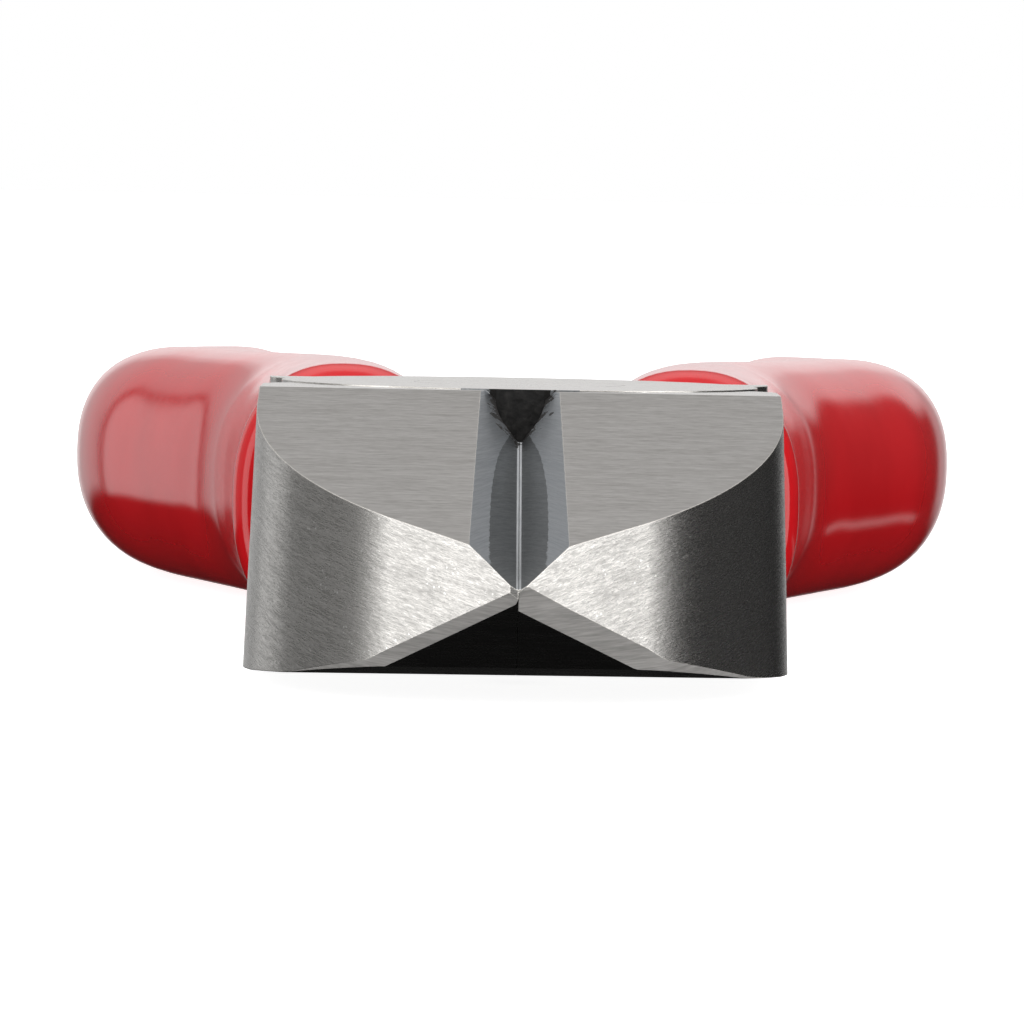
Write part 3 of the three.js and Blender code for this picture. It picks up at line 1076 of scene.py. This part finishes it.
# Studio panels, seen from the object: azimuth range in degrees, 0 behind it and 90 to its right,
# elevation range, brightness and softness of the edges.
PANELS = (
    (-45, -25.5, -6.2, 30, 0.6, 0.7),
    (-86, -45, -6.2, 30, 0.26, 4.0),
    (-23.5, -8, -5, 20, 0.42, 1.2),
    (-8, 8, -5.5, 20, 0.85, 2.0),
    (8, 16, -5, 6, 0.34, 2.0),
    (8, 21, 6, 20, 0.6, 2.0),
    (24, 62, -8.0, -7.0, 0.4, 0.8),
    (87, 128, -25, 35, 2.2, 1.0),
    (-120, -86, -25, 35, 1.9, 4.0),
    (128, 181, 10, 70, 0.8, 6.0),
    (-181, -120, 10, 70, 0.8, 6.0),
    (100, 181, -65, -12, 0.7, 8.0),
    (-181, -100, -65, -12, 0.7, 8.0),
)
# The softness is that of a panel's sides: its top and bottom are never softer than this.
SOFTEST_LEVEL_EDGE = 2.0

# Brightness of the rest of the studio by elevation in degrees.
SKY = (
    (-90, 0.01), (-4, 0.01), (0, 0.03), (20, 0.08), (34, 0.52), (55, 1.35), (68, 1.35),
    (80, 0.5), (90, 0.42),
)


def window(tree, value, low, high, soft):
    """1 between low and high, falling softly to 0 outside."""
    rising = smooth_step(tree, value, low - soft, low + soft)
    falling = smooth_step(tree, value, high - soft, high + soft, 1.0, 0.0)
    return math_node(tree, "MULTIPLY", rising, falling)


def make_top_light():
    """A wide soft panel straight above."""
    data = bpy.data.lights.new("top_panel", "AREA")
    data.shape = "SQUARE"
    data.size = 0.8
    data.energy = 0.5
    light = bpy.data.objects.new("top_panel", data)
    light.location = (0, 0.05, 0.9)
    bpy.context.scene.collection.objects.link(light)


def view_angles(tree):
    """Azimuth and elevation in degrees of the direction that a ray takes."""
    coords = node(tree, "ShaderNodeTexCoord")
    split = node(tree, "ShaderNodeSeparateXYZ")
    tree.links.new(coords.outputs["Generated"], split.inputs["Vector"])
    azimuth = math_node(tree, "ARCTAN2", split.outputs["X"], split.outputs["Y"])
    elevation = math_node(tree, "ARCSINE", split.outputs["Z"], 0.0)
    degrees = 180 / math.pi
    return (
        math_node(tree, "MULTIPLY", azimuth, degrees),
        math_node(tree, "MULTIPLY", elevation, degrees),
    )


def studio_brightness(tree):
    """The sky's brightness by elevation, with every panel added."""
    azimuth, elevation = view_angles(tree)
    total = SKY[0][1]
    for (low, level), (high, next_level) in zip(SKY, SKY[1:]):
        step = remap(tree, elevation, low, high, 0.0, next_level - level)
        total = math_node(tree, "ADD", step, total)
    for az_low, az_high, el_low, el_high, strength, soft in PANELS:
        panel = math_node(
            tree, "MULTIPLY",
            window(tree, azimuth, az_low, az_high, soft),
            window(tree, elevation, el_low, el_high, min(soft, SOFTEST_LEVEL_EDGE)),
        )
        total = math_node(tree, "ADD", math_node(tree, "MULTIPLY", panel, strength), total)
    return total


def make_world():
    """The studio in reflections and light, and plain white behind the object."""
    world = bpy.data.worlds.new("studio")
    bpy.context.scene.world = world
    world.use_nodes = True
    tree = world.node_tree
    tree.nodes.clear()
    out = node(tree, "ShaderNodeOutputWorld")
    path = node(tree, "ShaderNodeLightPath")
    seen = node(tree, "ShaderNodeBackground", Color=(1, 1, 1, 1), Strength=1.0)
    lit = node(tree, "ShaderNodeBackground", Color=(1, 1, 1, 1))
    tree.links.new(studio_brightness(tree), lit.inputs["Strength"])
    mix = node(tree, "ShaderNodeMixShader")
    tree.links.new(path.outputs["Is Camera Ray"], mix.inputs[0])
    tree.links.new(lit.outputs[0], mix.inputs[1])
    tree.links.new(seen.outputs[0], mix.inputs[2])
    tree.links.new(mix.outputs[0], out.inputs["Surface"])


def make_floor():
    """A pale floor that the camera sees, but that neither reflects nor shades the object."""
    reach, gap = 6.0, 0.2
    floor = new_object(
        "floor",
        [(-reach, -reach, 0), (reach, -reach, 0), (reach, reach, 0), (-reach, reach, 0)],
        [(0, 1, 2, 3)],
    )
    floor.location.z = (RIVET_LOW[2] - gap) * MM
    material, _, shader = new_material("floor_white")
    shader.inputs["Base Color"].default_value = (0.8, 0.8, 0.8, 1)
    shader.inputs["Roughness"].default_value = 1.0
    shader.inputs["Specular IOR Level"].default_value = 0.0
    shader.inputs["Emission Color"].default_value = (1, 1, 1, 1)
    shader.inputs["Emission Strength"].default_value = 0.9
    floor.data.materials.append(material)
    floor.visible_glossy = False
    floor.visible_diffuse = False
    floor.visible_shadow = False


# ---- assembly ----


def make_halves(steels):
    halves = (
        ("upper_lap_half", -1, True, "forged_half_upper_lap", "upper_lap_lever"),
        ("lower_lap_half", 1, False, "forged_half_lower_lap", "lower_lap_lever"),
    )
    for name, jaw_side, lap_above, replaced, body in halves:
        half = forged_half(name, jaw_side, lap_above)
        blacken_pocket(half)
        finish_steel(half, steels, SHARP_STEEL)
        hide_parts(replaced)
        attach(half, body)


def make_rivet(steels):
    pin = rivet("flush_rivet")
    finish_steel(pin, steels, SHARP_RIVET)
    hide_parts("pivot_rivet")
    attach(pin, "upper_lap_lever")


def make_grips(vinyl):
    for name, side, replaced, body in (
        ("dipped_grip_right", 1, "grip_right", "upper_lap_lever"),
        ("dipped_grip_left", -1, "grip_left", "lower_lap_lever"),
    ):
        sleeve = grip(name, side)
        sleeve.data.materials.append(vinyl)
        shade(sleeve, SHARP_GRIP)
        to_metres(sleeve)
        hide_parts(replaced)
        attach(sleeve, body)


def build():
    steels = steel_set()
    vinyl = red_vinyl("red_vinyl")
    make_halves(steels)
    make_rivet(steels)
    make_grips(vinyl)


bpy.context.scene.view_settings.view_transform = "Standard"
make_camera()
make_world()
make_top_light()
make_floor()
build()
